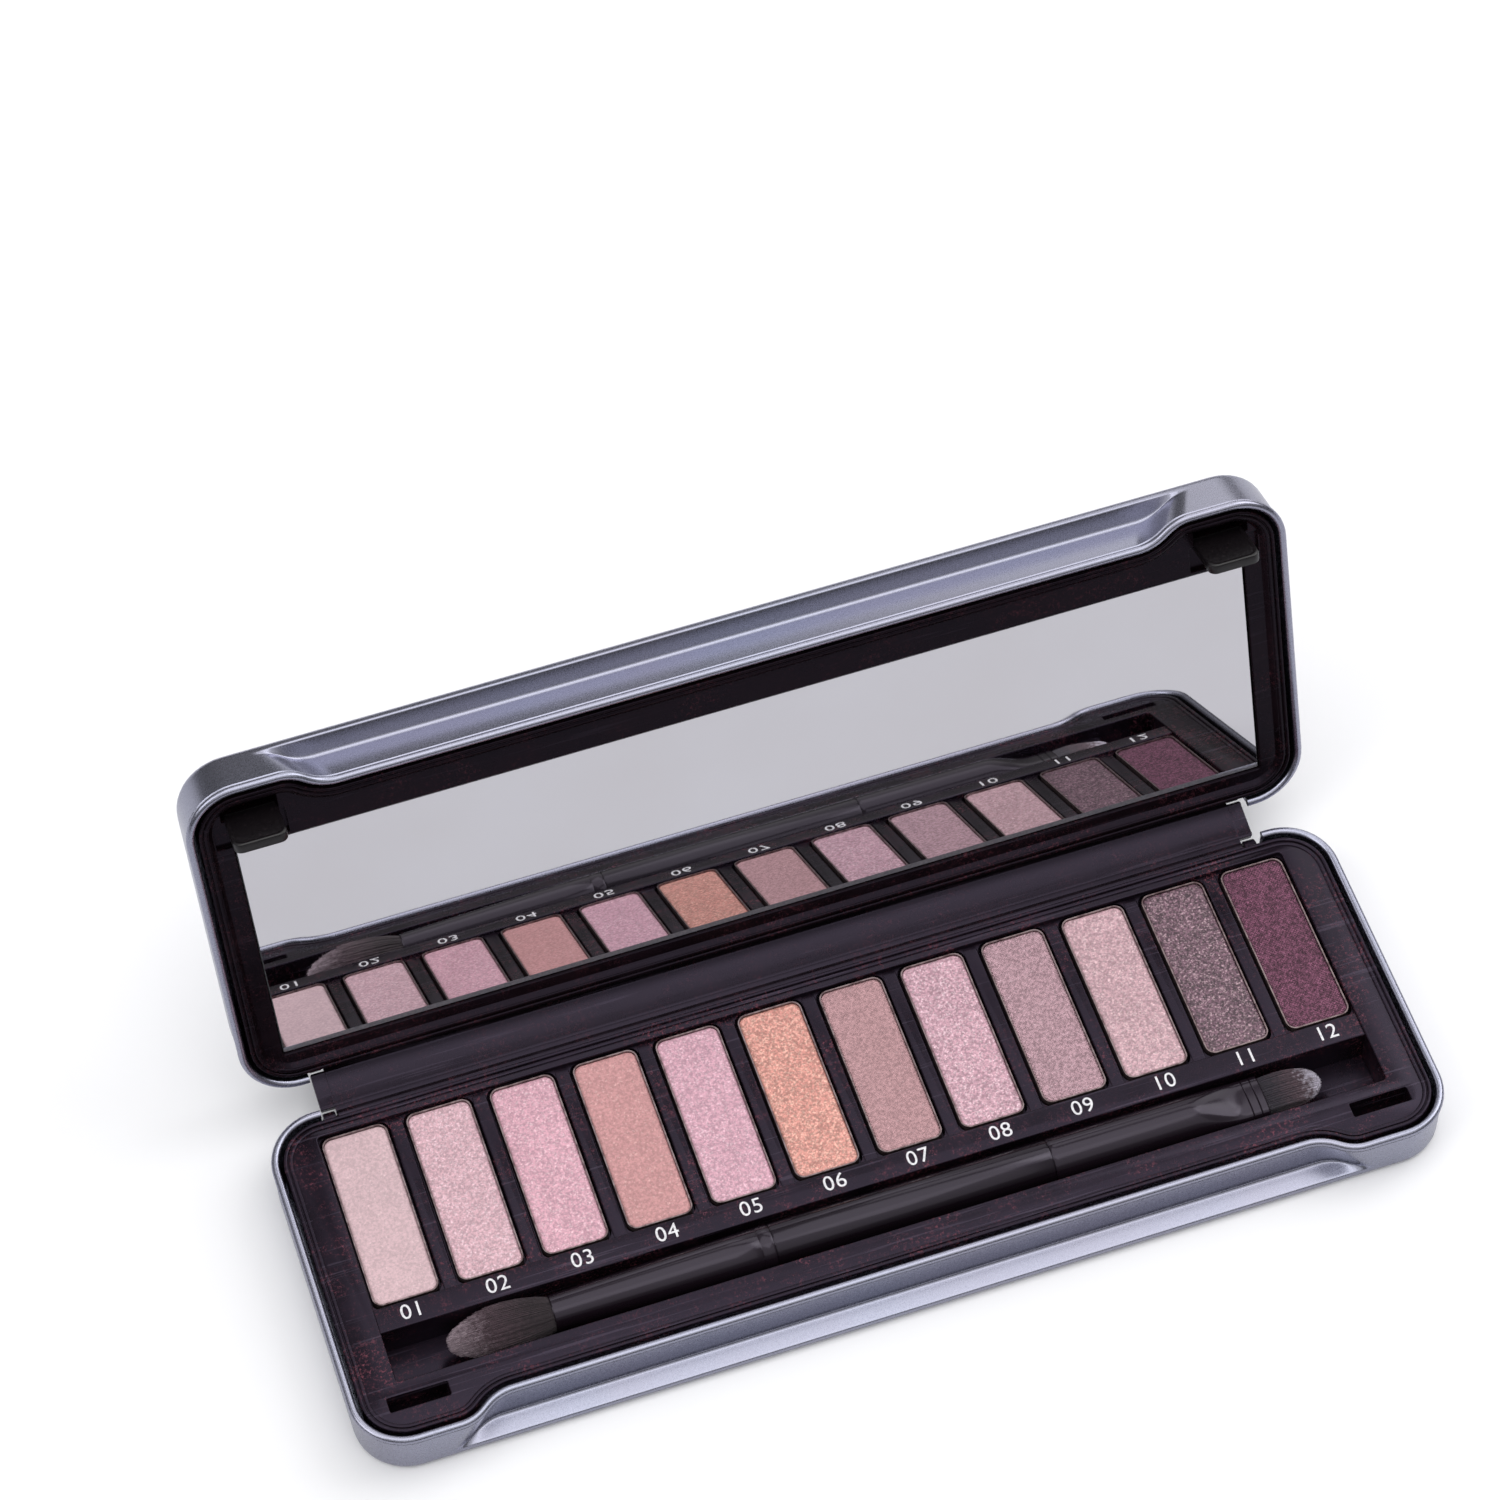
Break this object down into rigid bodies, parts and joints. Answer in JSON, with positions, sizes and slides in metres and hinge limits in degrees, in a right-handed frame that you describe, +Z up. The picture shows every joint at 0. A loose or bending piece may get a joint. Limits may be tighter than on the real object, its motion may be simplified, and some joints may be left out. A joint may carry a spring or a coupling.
{
  "type": "eyeshadow palette",
  "caption": "Slim hinged tin with a mirror in its lid, a row of pressed eyeshadow pans and a two-ended brush in a trough.",
  "frame": {"origin": "centre of the base tin's flat underside", "axes": "+X along the palette's length, +Y from the finger grip towards the hinge, +Z up out of the open base"},
  "size_m": [0.202, 0.1068, 0.0741],
  "materials": {
    "tin_paint": "satin metallic paint",
    "tape": "matte",
    "black_abs": "satin",
    "glue": "gloss",
    "steel_pin": "drawn wire",
    "mirror_glass": "silvered glass",
    "latch_rubber": "satin",
    "black_lacquer": "gloss",
    "black_ferrule": "gloss lacquer",
    "brush_fibre": "fine synthetic fibre",
    "pan_metal": "pressed",
    "powder_01": "pressed powder, matte, smooth",
    "powder_02": "pressed powder, shimmer",
    "powder_03": "pressed powder, shimmer",
    "powder_04": "pressed powder, satin",
    "powder_05": "pressed powder, shimmer",
    "powder_06": "pressed powder, metallic",
    "powder_07": "pressed powder, matte with a fine woven imprint",
    "powder_08": "pressed powder, glitter",
    "powder_09": "pressed powder, satin with a woven imprint",
    "powder_10": "pressed powder, shimmer",
    "powder_11": "pressed powder, dark shimmer",
    "powder_12": "pressed powder, matte with a strong woven imprint"
  },
  "bodies": {
    "base": {"base_tin": "tin_paint", "base_tape": "tape", "tray": "black_abs", "pan_glue": "glue", "base_hinge_pin": "steel_pin", "pan_01": "pan_metal", "pan_02": "pan_metal", "pan_03": "pan_metal", "pan_04": "pan_metal", "pan_05": "pan_metal", "pan_06": "pan_metal", "pan_07": "pan_metal", "pan_08": "pan_metal", "pan_09": "pan_metal", "pan_10": "pan_metal", "pan_11": "pan_metal", "pan_12": "pan_metal", "powder_01": "powder_01", "powder_02": "powder_02", "powder_03": "powder_03", "powder_04": "powder_04", "powder_05": "powder_05", "powder_06": "powder_06", "powder_07": "powder_07", "powder_08": "powder_08", "powder_09": "powder_09", "powder_10": "powder_10", "powder_11": "powder_11", "powder_12": "powder_12"},
    "spine": {"spine": "black_abs"},
    "lid": {"lid_tin": "tin_paint", "lid_tape": "tape", "lid_frame": "black_abs", "mirror": "mirror_glass", "mirror_tape": "tape", "latch_tab_left": "latch_rubber", "latch_tab_right": "latch_rubber", "lid_hinge_pin": "steel_pin"},
    "brush": {"brush_handle": "black_lacquer", "round_ferrule": "black_ferrule", "flat_ferrule": "black_ferrule", "round_bristles": "brush_fibre", "flat_bristles": "brush_fibre"}
  },
  "joints": [
    {"name": "spine_hinge", "type": "hinge", "parent": "base", "child": "spine", "pos_m": [0, 0.0339, 0.00585], "axis": [1, 0, 0], "range_deg": [0, 75]},
    {"name": "lid_hinge", "type": "hinge", "parent": "spine", "child": "lid", "pos_m": [0, 0.04453, 0.0087], "axis": [1, 0, 0], "range_deg": [0, 35]},
    {"name": "brush_lift", "type": "slide", "parent": "base", "child": "brush", "axis": [0, 0, 1], "range_m": [0, 0.06]}
  ]
}
